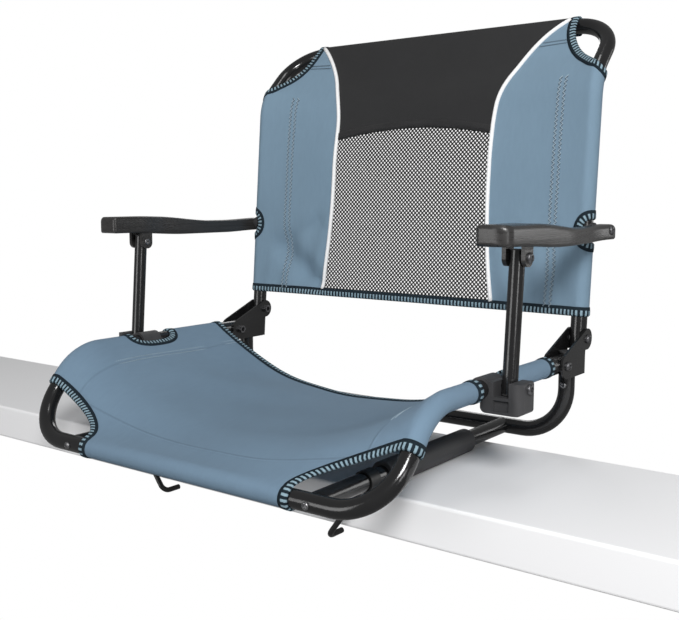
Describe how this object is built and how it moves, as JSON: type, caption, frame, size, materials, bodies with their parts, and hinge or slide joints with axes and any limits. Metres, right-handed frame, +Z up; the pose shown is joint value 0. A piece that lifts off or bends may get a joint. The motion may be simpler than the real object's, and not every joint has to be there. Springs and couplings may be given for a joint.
{
  "type": "stadium seat",
  "caption": "Folding stadium seat: bent tube frame with cloth sling seat and back, linked armrests, runners in foot sleeves and wire bench hooks.",
  "frame": {"origin": "middle of the part's box on its lowest plane, which the hanging bench hooks reach", "axes": "+X to the right seen from the front, +Y from the front bar to the backrest, +Z up"},
  "size_m": [0.6052, 0.5246, 0.5758],
  "materials": {
    "black_coat": "gloss powder coat",
    "dark_steel": "blackened steel",
    "hook_steel": "dipped black",
    "arm_plastic": "moulded satin",
    "socket_plastic": "moulded matte",
    "trim_plastic": "moulded matte",
    "stop_rubber": "matte rubber",
    "blue_cloth": "coated plain weave",
    "black_cloth": "plain weave",
    "black_mesh": "open knit mesh"
  },
  "bodies": {
    "seat_base": {"seat_frame": "black_coat", "rear_base_frame": "black_coat", "left_runner": "black_coat", "right_runner": "black_coat", "runner_inserts": "dark_steel", "front_bar_screws": "dark_steel", "leg_screws": "dark_steel", "left_foot_sleeve": "trim_plastic", "right_foot_sleeve": "trim_plastic", "left_outer_hinge_plate": "black_coat", "left_inner_hinge_plate": "black_coat", "right_outer_hinge_plate": "black_coat", "right_inner_hinge_plate": "black_coat", "lower_hinge_bolts": "dark_steel", "lower_hinge_nuts": "dark_steel", "back_pivot_bolts": "dark_steel", "back_pivot_nuts": "dark_steel", "left_back_stop": "stop_rubber", "right_back_stop": "stop_rubber", "leg_top_plugs": "trim_plastic", "socket_pins": "dark_steel", "left_arm_socket": "socket_plastic", "right_arm_socket": "socket_plastic", "seat_sling": "blue_cloth"},
    "backrest": {"back_frame": "black_coat", "back_tube_plugs": "trim_plastic", "back_pivot_bushes": "trim_plastic", "arm_pivot_washers": "trim_plastic", "arm_pivot_bolts": "dark_steel", "back_sling": "blue_cloth", "back_top_panel": "black_cloth", "back_mesh_panel": "black_mesh"},
    "left_arm": {"left_armrest": "arm_plastic", "left_ear_pin": "dark_steel"},
    "left_post": {"left_arm_post": "black_coat", "left_post_plugs": "trim_plastic"},
    "left_hook": {"left_hook_collar": "hook_steel", "left_bench_hook": "hook_steel"},
    "right_arm": {"right_armrest": "arm_plastic", "right_ear_pin": "dark_steel"},
    "right_post": {"right_arm_post": "black_coat", "right_post_plugs": "trim_plastic"},
    "right_hook": {"right_hook_collar": "hook_steel", "right_bench_hook": "hook_steel"}
  },
  "joints": [
    {"name": "back_fold", "type": "hinge", "parent": "seat_base", "child": "backrest", "pos_m": [0, 0.15614, 0.184], "axis": [1, 0, 0], "range_deg": [0, 90]},
    {"name": "left_arm_swing", "type": "hinge", "parent": "backrest", "child": "left_arm", "pos_m": [-0.278, 0.16626, 0.3126], "axis": [1, 0, 0], "range_deg": [-90, 0]},
    {"name": "left_post_swing", "type": "hinge", "parent": "seat_base", "child": "left_post", "pos_m": [-0.278, -0.06436, 0.1634], "axis": [1, 0, 0], "range_deg": [0, 90]},
    {"name": "left_hook_swing", "type": "hinge", "parent": "seat_base", "child": "left_hook", "pos_m": [-0.174, -0.16236, 0.07203], "axis": [0, 1, 0], "range_deg": [-54, 36]},
    {"name": "right_arm_swing", "type": "hinge", "parent": "backrest", "child": "right_arm", "pos_m": [0.278, 0.16626, 0.3126], "axis": [1, 0, 0], "range_deg": [-90, 0]},
    {"name": "right_post_swing", "type": "hinge", "parent": "seat_base", "child": "right_post", "pos_m": [0.278, -0.06436, 0.1634], "axis": [1, 0, 0], "range_deg": [0, 90]},
    {"name": "right_hook_swing", "type": "hinge", "parent": "seat_base", "child": "right_hook", "pos_m": [0.174, -0.16236, 0.07203], "axis": [0, 1, 0], "range_deg": [-36, 54]}
  ],
  "couplings": [
    {"joint": "left_arm_swing", "follows": "back_fold", "ratio": -1},
    {"joint": "left_post_swing", "follows": "back_fold", "ratio": 1},
    {"joint": "right_arm_swing", "follows": "back_fold", "ratio": -1},
    {"joint": "right_post_swing", "follows": "back_fold", "ratio": 1}
  ]
}
